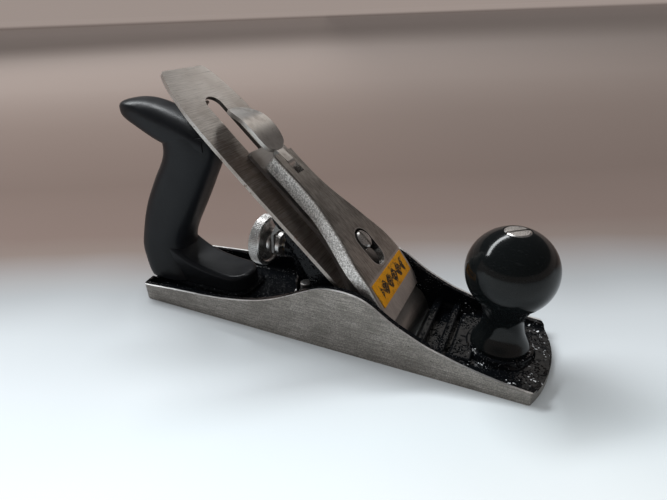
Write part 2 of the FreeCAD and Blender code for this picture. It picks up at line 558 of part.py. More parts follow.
def adjusting_stud():
    """Threaded stud that the adjusting nut runs on."""
    return turned([(0, 0), (0, 2.2), (0.6, STUD_R), (41, STUD_R), (41, 0)], stud_point(-4), stud_point(1) - stud_point(0))


def adjusting_bush():
    """Threaded bush inside the adjusting nut."""
    inner = STUD_R + RUNNING
    profile = [(0.4, inner), (0.4, BUSH_R), (NUT_LENGTH - 0.3, BUSH_R), (NUT_LENGTH - 0.3, inner)]
    return turned(profile, stud_point(0), stud_point(1) - stud_point(0))


def adjusting_nut():
    """Knurled wheel with a grooved hub for the yoke."""
    bore = BUSH_R + RUNNING
    low, high = NUT_GROOVE
    profile = [(0, bore), (0, 9.0), (0.9, 10.0), (0.9, 12.6), (0, 13.4), (0, NUT_R - 0.9), (0.9, NUT_R), (NUT_RIM - 0.9, NUT_R),
               (NUT_RIM, NUT_R - 0.9), (NUT_RIM, 12.9), (NUT_RIM - 0.8, 12.2), (NUT_RIM - 0.2, 9.6), (NUT_RIM + 0.9, 7.4),
               (low - 0.9, 6.8), (low - 0.9, NUT_FLANGE_R), (low, NUT_FLANGE_R), (low, NUT_GROOVE_R),
               (high, NUT_GROOVE_R), (high, NUT_FLANGE_R), (NUT_LENGTH - 0.5, NUT_FLANGE_R), (NUT_LENGTH, NUT_FLANGE_R - 0.5),
               (NUT_LENGTH, bore)]
    wheel = turned(profile, Vector(), Vector(0, 0, 1))
    notch = Part.makeCylinder(0.45, NUT_RIM + 2, Vector(NUT_R + 0.2, 0, -1))
    notches = []
    for index in range(KNURLS):
        copy = notch.copy()
        copy.rotate(Vector(), Vector(0, 0, 1), 360.0 * index / KNURLS)
        notches.append(copy)
    wheel = wheel.cut(Part.makeCompound(notches))
    placement = Placement(stud_point(0), FreeCAD.Rotation(Vector(0, 0, 1), stud_point(1) - stud_point(0)))
    return wheel.transformGeometry(placement.toMatrix())


def yoke():
    """Forked lever from the nut's groove to the cap iron's slot."""
    pivot = slope_point(FINGER_S, 0, YOKE_PIVOT_OFF)
    middle = (NUT_GROOVE[0] + NUT_GROOVE[1]) / 2
    low_rear, high_rear = (stud_point(middle - YOKE_FORK_HALF, height) for height in (-3.6, 8.2))
    low_front, high_front = (stud_point(middle + YOKE_FORK_HALF, height) for height in (-3.6, 8.2))
    lean = Vector(2.9, 0, -1.3)
    outline = [low_rear, low_front, high_front, pivot + lean, pivot - lean, high_rear]
    points = [(p.x, p.z) for p in outline]
    arms = prism_xz(points, -YOKE_ARM_OUT, -YOKE_ARM_IN).fuse(prism_xz(points, YOKE_ARM_IN, YOKE_ARM_OUT))
    barrel = cylinder(Vector(pivot.x, -YOKE_ARM_OUT, pivot.z), Vector(pivot.x, YOKE_ARM_OUT, pivot.z), 3.5)
    finger = band([(FINGER_S - 2.2, YOKE_PIVOT_OFF), (FINGER_S - 2.2, 3.2), (FINGER_S - 1.0, 4.3), (FINGER_S + 1.0, 4.3),
                   (FINGER_S + 2.2, 3.2), (FINGER_S + 2.2, YOKE_PIVOT_OFF)], 2.2)
    solid = arms.fuse(barrel).fuse(on_slope(finger))
    bore = cylinder(Vector(pivot.x, -9, pivot.z), Vector(pivot.x, 9, pivot.z), YOKE_PIN_R + RUNNING)
    return solid.cut(bore).removeSplitter()


def yoke_pin():
    """Pin through the frog's lugs that the yoke rocks on."""
    pivot = slope_point(FINGER_S, 0, YOKE_PIVOT_OFF)
    return cylinder(Vector(pivot.x, -10.8, pivot.z), Vector(pivot.x, 10.8, pivot.z), YOKE_PIN_R)


def lateral_lever():
    """Strip behind the iron that swings sideways, with a bent thumb tab."""
    flat = box((LATERAL_DISC_S - 1, -4.2, -1.5), (127, 4.2, -0.12))
    flat = flat.fuse(slope_hole(LATERAL_DISC_S, 0, 4.9, -1.5, -0.12))
    end = LATERAL_END_S
    arm = band([(126, -1.5), (126, -0.12), (128, -0.12), (132, -4.0), (end, -4.0), (end, -5.4), (131.4, -5.4), (127.5, -1.5)], 2.2)
    tab = box((end - 1.4, -6, -9), (end, 6, -4.0))
    lever = flat.fuse(arm).fuse(tab)
    return on_slope(lever.cut(slope_hole(LATERAL_PIVOT_S, 0, 1.56, -5, 2)).cut(slope_hole(LATERAL_DISC_S, 0, 1.5, -5, 2)))


def lateral_disc():
    """Round shoe on the lateral lever that steers the iron's slot, with its rivet."""
    disc = slope_hole(LATERAL_DISC_S, 0, LATERAL_DISC_R, -0.08, 1.8)
    return on_slope(disc.fuse(slope_hole(LATERAL_DISC_S, 0, 1.46, -1.5, 0)))


def lateral_rivet():
    """Rivet that the lateral lever swings on."""
    shank = slope_hole(LATERAL_PIVOT_S, 0, 1.5, -6.8, -0.3)
    head = slope_hole(LATERAL_PIVOT_S, 0, 3.0, -7.0, -6.05)
    return on_slope(shank.fuse(head))


def rounded_section(centre, reach_a, reach_b, power, along):
    """Closed wire like a squared ellipse about a point, in a level or an upright plane."""
    points = []
    for index in range(24):
        angle = 2 * math.pi * index / 24
        c, s = math.cos(angle), math.sin(angle)
        a = math.copysign(abs(c) ** (2 / power), c) * reach_a
        b = math.copysign(abs(s) ** (2 / power), s) * reach_b
        points.append(centre + along * a + Vector(0, b, 0))
    curve = Part.BSplineCurve()
    curve.interpolate(points, PeriodicFlag=True)
    return Part.Wire(curve.toShape())


def tote():
    """Rear handle: curved grip, horned head and a tongue along the bed."""
    level = Vector(1, 0, 0)
    rings = []
    for z, rear, front, half, power in TOTE_SECTIONS:
        rings.append(rounded_section(Vector((rear + front) / 2, 0, z), (front - rear) / 2, half, power, level))
    grip = Part.makeLoft(rings, True, False)
    rings = []
    for x, low, high, half in HORN_SECTIONS:
        rings.append(rounded_section(Vector(x, 0, (low + high) / 2), (high - low) / 2, half, 3.0, Vector(0, 0, 1)))
    head = Part.makeLoft(rings, True, False)
    low = TOTE_PAD_Z + 0.1
    top = spline([Vector(x, -20, z) for x, z in TOTE_TONGUE_TOP])
    first, last = TOTE_TONGUE_TOP[0], TOTE_TONGUE_TOP[-1]
    foot = [Vector(last[0], -20, last[1]), Vector(last[0], -20, low), Vector(first[0], -20, low),
            Vector(first[0], -20, first[1])]
    side = face_of([top] + [Part.makeLine(a, b) for a, b in zip(foot, foot[1:])])
    tongue = box((-114, -TOTE_TONGUE_HALF, low), (TOTE_TONGUE_FRONT_X, TOTE_TONGUE_HALF, 40))
    tongue = tongue.makeFillet(11.0, [e for e in upright(tongue) if e.CenterOfMass.x > -60])
    tongue = tongue.common(side.extrude(Vector(0, 40, 0)))
    rim = [e for e in tongue.Edges if e.BoundBox.ZMin > low + 5 and e.CenterOfMass.x > -113 and e.Length > 5]
    tongue = tongue.makeFillet(2.6, rim)
    handle = grip.fuse(head).fuse(tongue)
    down = (BOLT_BOTTOM - BOLT_TOP).normalize()
    handle = handle.cut(cylinder(BOLT_TOP - down * 8, BOLT_BOTTOM + down * 8, 3.0))
    return handle.cut(cylinder(BOLT_TOP - down * 14, BOLT_TOP + down * 4, 6.4))


def tote_bolt():
    """Long rod through the rear handle into the bed."""
    down = (BOLT_BOTTOM - BOLT_TOP).normalize()
    return cylinder(BOLT_TOP + down * 3.0, BOLT_BOTTOM + down * 2.6, 2.6)


def tote_nut():
    """Round slotted nut on top of the rear handle's rod."""
    down = (BOLT_BOTTOM - BOLT_TOP).normalize()
    profile = [(-1.4, 0), (-1.2, 4.2), (-0.2, 5.9), (3.6, 5.9), (3.6, 3.0 - 0.2), (14, 2.8), (14, 2.66), (3.0, 2.66), (3.0, 0)]
    nut = turned(profile, BOLT_TOP, down)
    slot = box((-0.6, -8, -3), (0.6, 8, 0.3))
    placement = Placement(BOLT_TOP, FreeCAD.Rotation(Vector(0, 0, 1), down))
    return nut.cut(slot.transformGeometry(placement.toMatrix()))


def knob():
    """Round front handle on a flared stem."""
    stem = [Vector(r, 0, z) for r, z in KNOB_PROFILE]
    rise = math.asin((KNOB_TOP_Z - KNOB_BALL_Z) / KNOB_BALL_R)
    start = math.asin((KNOB_PROFILE[-1][1] - KNOB_BALL_Z) / KNOB_BALL_R)
    ball = []
    for angle in (start, (start + rise) / 2, rise):
        ball.append(Vector(KNOB_BALL_R * math.cos(angle), 0, KNOB_BALL_Z + KNOB_BALL_R * math.sin(angle)))
    foot = Part.makeLine(Vector(0, 0, stem[0].z), stem[0])
    side = Part.makeLine(stem[0], stem[1])
    flare = spline(stem[1:-1] + [ball[0]])
    globe = Part.Arc(ball[0], ball[1], ball[2]).toShape()
    crown = Part.makeLine(ball[2], Vector(0, 0, KNOB_TOP_Z))
    axis = Part.makeLine(Vector(0, 0, KNOB_TOP_Z), Vector(0, 0, stem[0].z))
    outline = face_of([foot, side, flare, globe, crown, axis])
    solid = Part.Solid(Part.Shell(outline.revolve(Vector(), Vector(0, 0, 1), 360).Faces))
    solid = solid.cut(Part.makeCylinder(4.1, 80, Vector(0, 0, 40)))
    solid = solid.cut(Part.makeCylinder(3.0, 80, Vector(0, 0, 0)))
    solid = solid.cut(Part.makeCone(4.1, KNOB_NUT_R + 0.1, 2.4, Vector(0, 0, 68.5)))
    solid = solid.cut(Part.makeCylinder(KNOB_NUT_R + 0.1, 8, Vector(0, 0, 70.9)))
    solid.translate(Vector(KNOB_X, 0, 0))
    return solid


def knob_bolt():
    """Rod through the front knob into the bed."""
    return cylinder(Vector(KNOB_X, 0, 2.4), Vector(KNOB_X, 0, 65.6), 2.6)


def knob_nut():
    """Slotted countersunk nut on top of the front knob's rod."""
    profile = [(45, 2.66), (45, 4.0), (68.6, 4.0), (71.0, KNOB_NUT_R), (71.8, KNOB_NUT_R), (72.2, 5.2), (72.3, 0),
               (65.8, 0), (65.8, 2.66)]
    nut = turned(profile, Vector(KNOB_X, 0, 0), Vector(0, 0, 1))
    slot = box((-9, -0.75, 70.7), (9, 0.75, 74))
    slot.rotate(Vector(), Vector(0, 0, 1), 38)
    slot.translate(Vector(KNOB_X, 0, 0))
    return nut.cut(slot)


PIECES = {
    "body": body_casting,
    "frog": frog,
    "frog_screws": frog_screws,
    "frog_washers": frog_washers,
    "frog_adjusting_screw": frog_adjusting_screw,
    "frog_clip": frog_clip,
    "frog_clip_screw": frog_clip_screw,
    "iron": iron,
    "cap_iron": cap_iron,
    "cap_iron_screw": cap_iron_screw,
    "lever_cap": lever_cap,
    "cam_lever": cam_lever,
    "cam_pin": cam_pin,
    "cap_spring": cap_spring,
    "cap_spring_rivet": cap_spring_rivet,
    "lever_cap_screw": lever_cap_screw,
    "label": label,
    "adjusting_stud": adjusting_stud,
    "adjusting_bush": adjusting_bush,
    "adjusting_nut": adjusting_nut,
    "yoke": yoke,
    "yoke_pin": yoke_pin,
    "lateral_lever": lateral_lever,
    "lateral_disc": lateral_disc,
    "lateral_rivet": lateral_rivet,
    "tote": tote,
    "tote_bolt": tote_bolt,
    "tote_nut": tote_nut,
    "knob": knob,
    "knob_bolt": knob_bolt,
    "knob_nut": knob_nut,
}

os.makedirs("parts", exist_ok=True)
for node, make in PIECES.items():
    export(node, make())
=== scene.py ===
import math

import bpy
from mathutils import Matrix, Vector

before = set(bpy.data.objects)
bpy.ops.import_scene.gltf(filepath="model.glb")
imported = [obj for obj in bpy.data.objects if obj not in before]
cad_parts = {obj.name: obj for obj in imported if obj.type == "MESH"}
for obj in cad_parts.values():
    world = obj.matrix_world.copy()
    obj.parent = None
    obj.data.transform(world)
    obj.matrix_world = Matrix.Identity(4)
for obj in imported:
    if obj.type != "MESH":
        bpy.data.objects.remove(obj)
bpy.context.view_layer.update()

MM = 0.001

# ---------------------------------------------------------------- node helpers


class Shade:
    """Builds one node material around a Principled shader, in object coordinates (metres)."""

    def __init__(self, name):
        self.mat = bpy.data.materials.new(name)
        self.mat.use_nodes = True
        self.tree = self.mat.node_tree
        self.tree.nodes.clear()
        self.out = self.tree.nodes.new("ShaderNodeOutputMaterial")
        self.bsdf = self.tree.nodes.new("ShaderNodeBsdfPrincipled")
        self.link(self.bsdf.outputs[0], self.out.inputs[0])
        self.coords = self.tree.nodes.new("ShaderNodeTexCoord").outputs["Object"]
        self.geo = self.tree.nodes.new("ShaderNodeNewGeometry")

    def link(self, a, b):
        self.tree.links.new(a, b)

    def put(self, socket, value):
        if isinstance(value, bpy.types.NodeSocket):
            self.link(value, socket)
        elif value is not None:
            socket.default_value = value

    def set(self, **values):
        """Values for the shader's own sockets, with spaces as underscores."""
        for key, value in values.items():
            self.put(self.bsdf.inputs[key.replace("_", " ")], value)

    def math(self, op, a, b=None):
        node = self.tree.nodes.new("ShaderNodeMath")
        node.operation = op
        for socket, value in zip(node.inputs, (a, b)):
            self.put(socket, value)
        return node.outputs[0]

    def vmath(self, op, a, b):
        node = self.tree.nodes.new("ShaderNodeVectorMath")
        node.operation = op
        self.put(node.inputs[0], a)
        self.put(node.inputs[1], b)
        return node.outputs["Value"] if op == "DOT_PRODUCT" else node.outputs[0]

    def ramp(self, value, low, high, out_low=0.0, out_high=1.0, smooth=True):
        node = self.tree.nodes.new("ShaderNodeMapRange")
        node.interpolation_type = "SMOOTHSTEP" if smooth else "LINEAR"
        for socket, v in zip(node.inputs, (value, low, high, out_low, out_high)):
            self.put(socket, v)
        return node.outputs[0]

    def mapped(self, scale, rotation=(0, 0, 0)):
        """Coordinates stretched and turned, for noise that runs along one direction."""
        node = self.tree.nodes.new("ShaderNodeMapping")
        self.put(node.inputs[0], self.coords)
        node.inputs["Rotation"].default_value = rotation
        node.inputs["Scale"].default_value = scale
        return node.outputs[0]

    def noise(self, size_mm, detail=3.0, rough=0.55, coords=None, distortion=0.0):
        node = self.tree.nodes.new("ShaderNodeTexNoise")
        self.put(node.inputs["Vector"], coords or self.coords)
        node.inputs["Scale"].default_value = 1.0 / (size_mm * MM)
        node.inputs["Detail"].default_value = detail
        node.inputs["Roughness"].default_value = rough
        node.inputs["Distortion"].default_value = distortion
        return node.outputs[0]

    def cells(self, size_mm):
        """Distance to the nearest of many scattered points."""
        node = self.tree.nodes.new("ShaderNodeTexVoronoi")
        self.put(node.inputs["Vector"], self.coords)
        node.inputs["Scale"].default_value = 1.0 / (size_mm * MM)
        return node.outputs[0]

    def mix(self, factor, a, b):
        node = self.tree.nodes.new("ShaderNodeMix")
        node.data_type = "RGBA"
        self.put(node.inputs[0], factor)
        self.put(node.inputs[6], a)
        self.put(node.inputs[7], b)
        return node.outputs[2]

    def blend(self, factor, a, b):
        node = self.tree.nodes.new("ShaderNodeMix")
        self.put(node.inputs[0], factor)
        self.put(node.inputs[2], a)
        self.put(node.inputs[3], b)
        return node.outputs[0]

    def split(self, vector):
        node = self.tree.nodes.new("ShaderNodeSeparateXYZ")
        self.put(node.inputs[0], vector)
        return node.outputs[0], node.outputs[1], node.outputs[2]

    def bump(self, height, depth_mm, strength):
        node = self.tree.nodes.new("ShaderNodeBump")
        node.inputs["Strength"].default_value = strength
        node.inputs["Distance"].default_value = depth_mm * MM
        self.put(node.inputs["Height"], height)
        return node.outputs[0]


def grey(value, warm=0.0):
    """Linear grey, a little warmer when warm is above 0."""
    return (value * (1 + warm), value, value * (1 - warm), 1.0)


# The irons and the lever cap lie on the plane x + z = PITCH_SUM, at 45 degrees
C45 = math.sqrt(0.5)
SLOPE_S = (-C45, 0.0, C45)
SLOPE_N = (C45, 0.0, C45)
PITCH_SUM = 51.5 * MM


def slope_coords(sh):
    """Distance up the slope and distance across it of the surface point, in metres."""
    across = sh.split(sh.coords)[1]
    from_foot = sh.vmath("SUBTRACT", sh.coords, (PITCH_SUM, 0, 0))
    return sh.vmath("DOT_PRODUCT", from_foot, SLOPE_S), across


# ---------------------------------------------------------------- materials


ENAMEL_SPECULAR = 0.12
ENAMEL_BLACK = (0.0036, 0.0042, 0.0052, 1)
ENAMEL_DUST = (0.035, 0.036, 0.038, 1)
ENAMEL_PAINTED_GLINT = (0.75, 0.77, 0.79, 1)


def enamel(sh):
    """Colour, roughness and normal of black enamel over a rough sand casting, with beads of enamel.

    Specks on the bed by the toe are painted glints, drawn bright in place of the glints of the beads there.
    """
    coarse = sh.noise(6.6, 2.0, 0.5)
    fine = sh.noise(2.2, 2.0, 0.5, distortion=0.4)
    bead = sh.ramp(sh.cells(1.3), 0.50, 0.0)
    patch = sh.ramp(sh.noise(11, 2.0), 0.42, 0.56)
    bead = sh.math("MULTIPLY", bead, patch)
    height = sh.math("ADD", sh.math("MULTIPLY", coarse, 0.55), sh.math("MULTIPLY", fine, 0.12))
    height = sh.math("ADD", height, sh.math("MULTIPLY", bead, 0.9))
    dust = sh.ramp(sh.noise(0.5, 2.0), 0.66, 0.78)
    colour = sh.mix(sh.math("MULTIPLY", dust, 0.35), ENAMEL_BLACK, ENAMEL_DUST)
    x, _, z = sh.split(sh.coords)
    toe = sh.math("MULTIPLY", sh.ramp(x, 62 * MM, 72 * MM), sh.ramp(z, 13 * MM, 11 * MM))
    # Painted glints: bright specks on the bed by the toe stand for the highlights of the enamel beads.
    painted_glint = sh.ramp(sh.noise(1.5, 1.0), 0.66, 0.71)
    painted_glint = sh.math("MULTIPLY", painted_glint, sh.ramp(sh.noise(13, 2.0), 0.53, 0.60))
    colour = sh.mix(sh.math("MULTIPLY", painted_glint, toe), colour, ENAMEL_PAINTED_GLINT)
    rough = sh.ramp(sh.noise(6, 3), 0.3, 0.7, 0.04, 0.10)
    return colour, rough, sh.bump(height, 1.1, 0.9)


def make_enamel():
    sh = Shade("black_enamel")
    colour, rough, normal = enamel(sh)
    sh.set(Base_Color=colour, Roughness=rough, Normal=normal)
    sh.bsdf.inputs["Specular IOR Level"].default_value = ENAMEL_SPECULAR
    return sh.mat


def make_casting():
    """Ground grey iron outside, black enamel inside, told apart by place and direction."""
    sh = Shade("plane_casting")
    x, y, z = sh.split(sh.coords)
    nx, _, nz = sh.split(sh.geo.outputs["Normal"])
    side = sh.math("GREATER_THAN", sh.math("ABSOLUTE", y), sh.ramp(nz, 0.4, 0.6, 30.35 * MM, 29.7 * MM))
    sole = sh.math("LESS_THAN", z, 0.05 * MM)
    low = sh.math("LESS_THAN", z, 5.02 * MM)
    nose = sh.math("MULTIPLY", sh.math("MULTIPLY", sh.math("GREATER_THAN", x, 111 * MM), low),
                   sh.math("GREATER_THAN", nx, 0.3))
    end = sh.math("MULTIPLY", sh.math("GREATER_THAN", x, 111 * MM),
                  sh.math("GREATER_THAN", sh.math("ABSOLUTE", y), 27.2 * MM))
    end = sh.math("MULTIPLY", end, sh.math("LESS_THAN", nz, 0.5))
    heel = sh.math("MULTIPLY", sh.math("LESS_THAN", x, -120.5 * MM), sh.math("LESS_THAN", nx, -0.2))
    mask = side
    for other in (sole, nose, end, heel):
        mask = sh.math("MAXIMUM", mask, other)

    colour, rough, normal = enamel(sh)
    grind = sh.noise(1.0, 4.0, 0.6, sh.mapped((0.06, 1.0, 1.6)))
    cross = sh.noise(0.8, 3.0, 0.6, sh.mapped((1.4, 1.0, 0.09), (0, 0.12, 0)))
    cloud = sh.noise(22, 4.0, 0.6)
    pit = sh.ramp(sh.noise(1.1, 3.0, 0.6), 0.62, 0.70)
    pit = sh.math("MULTIPLY", pit, sh.ramp(sh.noise(15, 3.0), 0.40, 0.58))
    bare = sh.mix(sh.ramp(grind, 0.3, 0.7), grey(0.17, 0.12), grey(0.48, 0.09))
    bare = sh.mix(sh.math("MULTIPLY", cross, 0.35), bare, grey(0.38, 0.08))
    bare = sh.mix(sh.ramp(cloud, 0.35, 0.7, 0.0, 0.5), bare, grey(0.15, 0.12))
    grit = sh.noise(0.55, 2.0, 0.7)
    bare = sh.mix(sh.ramp(grit, 0.40, 0.60, 0.55, 0.0), bare, grey(0.08, 0.08))
    bare = sh.mix(sh.math("MULTIPLY", pit, 0.9), bare, (0.035, 0.03, 0.027, 1))
    # Top edges of the cheeks: ground metal, drawn near white as a painted highlight along the edge.
    ground_edge_highlight = sh.math("MULTIPLY", sh.math("GREATER_THAN", nz, 0.6), side)
    bare = sh.mix(sh.math("MULTIPLY", ground_edge_highlight, 0.95), bare, grey(0.92, 0.01))
    bare_rough = sh.math("ADD", sh.ramp(grind, 0.2, 0.8, 0.34, 0.5), sh.math("MULTIPLY", pit, 0.25))
    bare_height = sh.math("ADD", sh.math("MULTIPLY", grind, 0.3), sh.math("MULTIPLY", grit, 0.35))
    bare_height = sh.math("SUBTRACT", bare_height, pit)
    bare_normal = sh.bump(bare_height, 0.09, 0.7)

    sh.set(Base_Color=sh.mix(mask, colour, bare), Roughness=sh.blend(mask, rough, bare_rough),
           Metallic=sh.math("MULTIPLY", mask, 0.93))
    pick = sh.tree.nodes.new("ShaderNodeMix")
    pick.data_type = "VECTOR"
    sh.put(pick.inputs[0], mask)
    sh.put(pick.inputs[4], normal)
    sh.put(pick.inputs[5], bare_normal)
    sh.put(sh.bsdf.inputs["Normal"], pick.outputs[1])
    sh.bsdf.inputs["Specular IOR Level"].default_value = ENAMEL_SPECULAR
    return sh.mat


def make_plastic(name, base, low, high, bump_mm, specular):
    """Moulded black plastic with a slightly uneven gloss, fine scuffs and dust."""
    sh = Shade(name)
    wave = sh.noise(9, 2.0, 0.5)
    scuff = sh.ramp(sh.noise(0.9, 4.0, 0.7, sh.mapped((0.25, 1.0, 1.0), (0.4, 0.7, 0.2))), 0.56, 0.74)
    dust = sh.ramp(sh.noise(0.35, 2.0), 0.70, 0.80)
    colour = sh.mix(sh.math("MULTIPLY", scuff, 0.18), base, grey(0.05, -0.04))
    colour = sh.mix(sh.math("MULTIPLY", dust, 0.22), colour, grey(0.16))
    rough = sh.math("ADD", sh.ramp(sh.noise(14, 3.0), 0.3, 0.7, low, high), sh.math("MULTIPLY", scuff, 0.10))
    height = sh.math("ADD", wave, sh.math("MULTIPLY", sh.noise(0.6, 2.0), 0.12))
    sh.set(Base_Color=colour, Roughness=rough, Normal=sh.bump(height, bump_mm, 0.6))
    sh.bsdf.inputs["Specular IOR Level"].default_value = specular
    return sh.mat


def make_iron():
    """Flat ground tool steel: cross scratches, brown bloom and a few rust flakes by the edges, with painted
    shade lower down and in the slot, and a painted reflection on the upper end.
    """
    sh = Shade("cutting_iron")
    s, y = slope_coords(sh)
    cross = sh.noise(0.45, 4.0, 0.65, sh.mapped((1.0, 0.035, 1.0)))
    diagonal = sh.noise(0.6, 3.0, 0.6, sh.mapped((1.0, 0.05, 1.0), (0, 0, 0.35)))
    cloud = sh.noise(26, 4.0, 0.6)
    top = sh.ramp(s, 150 * MM, 188 * MM)
    base = sh.mix(sh.ramp(cross, 0.32, 0.68), grey(0.20, 0.08), grey(0.66, 0.05))
    base = sh.mix(sh.math("MULTIPLY", diagonal, 0.4), base, grey(0.5, 0.03))
    bloom = sh.ramp(cloud, 0.38, 0.66, 0.0, 0.65)
    base = sh.mix(bloom, base, (0.19, 0.15, 0.125, 1))
    # Painted shade: the iron is drawn browner and darker further down, where the lever cap shades it.
    base = sh.mix(sh.ramp(s, 150 * MM, 105 * MM, 0.0, 0.5), base, (0.17, 0.125, 0.10, 1))
    # Upper end of the iron: ground steel, drawn lighter still as a painted reflection of the bright
    # surroundings.
    base = sh.mix(sh.math("MULTIPLY", top, 0.45), base, grey(0.85, 0.04))
    scratch = sh.ramp(sh.noise(0.3, 2.0, 0.5, sh.mapped((1.0, 0.02, 1.0), (0, 0, 0.05))), 0.60, 0.68)
    base = sh.mix(sh.math("MULTIPLY", scratch, 0.5), base, grey(0.10, 0.1))
    rim = sh.ramp(sh.math("ABSOLUTE", y), 17 * MM, 25 * MM)
    flake = sh.math("MULTIPLY", sh.ramp(sh.noise(2.6, 4.0, 0.7), 0.60, 0.68), rim)
    base = sh.mix(sh.math("MULTIPLY", flake, 0.8), base, (0.12, 0.05, 0.03, 1))
    # Painted shade: the walls of the slot in the iron are drawn near black.
    facing = sh.math("ABSOLUTE", sh.vmath("DOT_PRODUCT", sh.geo.outputs["Normal"], SLOPE_N))
    middle = sh.math("LESS_THAN", sh.math("ABSOLUTE", y), 9 * MM)
    slot_wall_shade = sh.math("MULTIPLY", sh.math("LESS_THAN", facing, 0.5), middle)
    slot_wall_shade = sh.math("MULTIPLY", slot_wall_shade, sh.math("GREATER_THAN", s, 10 * MM))
    slot_wall_shade = sh.math("MULTIPLY", slot_wall_shade, sh.math("LESS_THAN", s, 180 * MM))
    base = sh.mix(sh.math("MULTIPLY", slot_wall_shade, 0.93), base, (0.02, 0.014, 0.010, 1))
    rough = sh.math("ADD", sh.ramp(cross, 0.2, 0.8, 0.27, 0.45), sh.math("MULTIPLY", flake, 0.3))
    height = sh.math("ADD", cross, sh.math("MULTIPLY", diagonal, 0.5))
    metallic = sh.math("SUBTRACT", 0.95, sh.math("MULTIPLY", flake, 0.7))
    sh.set(Base_Color=base, Metallic=metallic, Roughness=rough, Normal=sh.bump(height, 0.05, 0.8))
    sh.bsdf.inputs["Anisotropic"].default_value = 0.35
    return sh.mat


KEYHOLE_MIDDLE = 55 * MM
KEYHOLE_HALF = 5 * MM


def make_cap():
    """Lever cap: rubbed smooth on top, bright rough casting on its sides and underneath."""
    sh = Shade("lever_cap_casting")
    s, y = slope_coords(sh)
    facing = sh.vmath("DOT_PRODUCT", sh.geo.outputs["Normal"], SLOPE_N)
    wall = sh.ramp(facing, 0.55, 0.8, 1.0, 0.0)
    rub = sh.noise(0.5, 4.0, 0.65, sh.mapped((0.09, 1.0, 0.09), (0, 0.785, 0)))
    cloud = sh.noise(14, 4.0, 0.6)
    top = sh.mix(sh.ramp(rub, 0.3, 0.7), grey(0.25, 0.10), grey(0.56, 0.08))
    top = sh.mix(sh.ramp(cloud, 0.35, 0.7, 0, 0.5), top, (0.12, 0.105, 0.092, 1))
    grain = sh.noise(0.8, 3.0, 0.65)
    side = sh.mix(sh.ramp(grain, 0.32, 0.68), grey(0.34, 0.05), grey(0.95, 0.03))
    base = sh.mix(wall, top, side)
    facet = sh.ramp(facing, 0.999, 0.985)
    facet = sh.math("MULTIPLY", facet, sh.ramp(s, 44 * MM, 41 * MM))
    base = sh.mix(sh.math("MULTIPLY", facet, 0.5), base, grey(0.5, 0.02))
    # Keyhole: distance from the line between its two ends
    from_middle = sh.math("ABSOLUTE", sh.math("SUBTRACT", s, KEYHOLE_MIDDLE))
    beyond = sh.math("SUBTRACT", from_middle, KEYHOLE_HALF)
    beyond = sh.math("MAXIMUM", beyond, 0.0)
    reach = sh.math("SQRT", sh.math("ADD", sh.math("MULTIPLY", beyond, beyond), sh.math("MULTIPLY", y, y)))
    # Painted shade: the keyhole is drawn near black.
    base = sh.mix(sh.ramp(reach, 6.6 * MM, 6.78 * MM, 0.93, 0.0), base, (0.012, 0.010, 0.009, 1))
    # Painted highlight: a thin light ring along the keyhole's rim.
    rim_highlight = sh.math("MULTIPLY", sh.ramp(reach, 6.8 * MM, 7.0 * MM), sh.ramp(reach, 7.5 * MM, 7.2 * MM))
    base = sh.mix(sh.math("MULTIPLY", rim_highlight, 0.6), base, grey(0.7, 0.02))
    rough = sh.blend(wall, sh.ramp(rub, 0.2, 0.8, 0.27, 0.42), 0.46)
    height = sh.blend(wall, sh.math("MULTIPLY", rub, 0.1), sh.math("ADD", grain, sh.noise(2.2, 2.0)))
    sh.set(Base_Color=base, Metallic=0.94, Roughness=rough, Normal=sh.bump(height, 0.16, 0.8))
    return sh.mat


def make_steel(name, value, rough, warm, size, stretch=(1, 1, 1), bump_mm=0.015, stain=0.35):
    """Turned, drawn or plated steel with fine lines and slight stains."""
    sh = Shade(name)
    line = sh.noise(size, 4.0, 0.6, sh.mapped(stretch))
    cloud = sh.noise(7, 4.0, 0.6)
    base = sh.mix(line, grey(value * 0.7, warm), grey(min(1.0, value * 1.2), warm))
    base = sh.mix(sh.ramp(cloud, 0.45, 0.75, 0.0, stain), base, (value * 0.42, value * 0.36, value * 0.31, 1))
    roughness = sh.ramp(line, 0.2, 0.8, rough * 0.8, rough * 1.25)
    roughness = sh.math("ADD", roughness, sh.math("MULTIPLY", cloud, 0.06))
    sh.set(Base_Color=base, Metallic=0.96, Roughness=roughness, Normal=sh.bump(line, bump_mm, 0.6))
    return sh.mat


LABEL_MIDDLE = 33.9 * MM
LABEL_HALF_HEIGHT = 6.6 * MM
LABEL_HALF_WIDTH = 21.4 * MM
DIAMONDS_PER_HALF = 3.1


